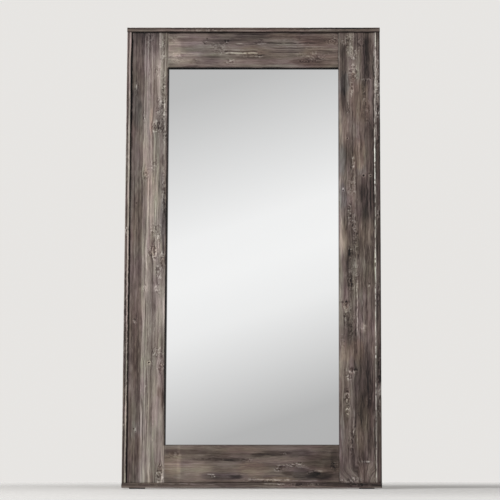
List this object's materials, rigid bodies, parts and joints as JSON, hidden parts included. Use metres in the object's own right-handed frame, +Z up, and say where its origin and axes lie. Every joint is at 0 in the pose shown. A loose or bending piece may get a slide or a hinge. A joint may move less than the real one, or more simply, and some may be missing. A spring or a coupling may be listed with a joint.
{
  "type": "leaning floor mirror",
  "caption": "Tall full-length floor mirror in a wide frame of weathered pine boards with raised edge boards, made to stand on the floor and lean on a wall.",
  "frame": {"origin": "on the floor, under the middle of the mirror's footprint, with the mirror upright", "axes": "+X to the right as one looks into the glass, -Y out of the glass towards the viewer, +Z up"},
  "size_m": [1.04, 0.073, 1.884],
  "materials": {
    "old_pine_face": "weathered grey-brown old pine, dry and rough, with knots, checks and scratches",
    "old_pine_edge": "the same old pine on edge, arrises worn light",
    "batten_pine": "planed pine, unfinished",
    "tenon_beech": "plain beech",
    "silvered_glass": "clear polished mirror",
    "glazing_foam": "closed-cell foam tape",
    "backing_card": "foam board",
    "back_board": "plain fibreboard",
    "nail_iron": "dark rusted iron",
    "zinc_steel": "dull zinc plate",
    "ring_steel": "drawn steel wire, zinc plated",
    "rubber": "matte black rubber"
  },
  "bodies": {
    "mirror_frame": {"left_stile": "old_pine_face", "right_stile": "old_pine_face", "top_rail": "old_pine_face", "bottom_rail": "old_pine_face", "left_edge_board": "old_pine_edge", "right_edge_board": "old_pine_edge", "top_edge_board": "old_pine_edge", "bottom_edge_board": "old_pine_edge", "left_batten": "batten_pine", "right_batten": "batten_pine", "top_batten": "batten_pine", "bottom_batten": "batten_pine", "lower_cross_brace": "batten_pine", "upper_cross_brace": "batten_pine", "rail_tenons": "tenon_beech", "mirror_glass": "silvered_glass", "glazing_tape": "glazing_foam", "glass_setting_blocks": "rubber", "glass_backing_sheet": "backing_card", "back_panel": "back_board", "back_panel_nails": "nail_iron", "face_nails": "nail_iron", "edge_board_nails": "nail_iron", "brace_screws": "zinc_steel", "corner_plate_screws": "zinc_steel", "hanger_screws": "zinc_steel", "corner_plate_top_left": "zinc_steel", "corner_plate_top_right": "zinc_steel", "corner_plate_bottom_left": "zinc_steel", "corner_plate_bottom_right": "zinc_steel", "left_hanger_strap": "zinc_steel", "right_hanger_strap": "zinc_steel", "left_floor_pad": "rubber", "right_floor_pad": "rubber", "wall_bumpers": "rubber"},
    "left_ring": {"left_hanger_ring": "ring_steel"},
    "right_ring": {"right_hanger_ring": "ring_steel"}
  },
  "joints": [
    {"name": "left_ring_swing", "type": "hinge", "parent": "mirror_frame", "child": "left_ring", "pos_m": [-0.466, 0.0273, 1.504], "axis": [1, 0, 0], "range_deg": [0, 175]},
    {"name": "right_ring_swing", "type": "hinge", "parent": "mirror_frame", "child": "right_ring", "pos_m": [0.466, 0.0273, 1.504], "axis": [1, 0, 0], "range_deg": [0, 175]}
  ]
}
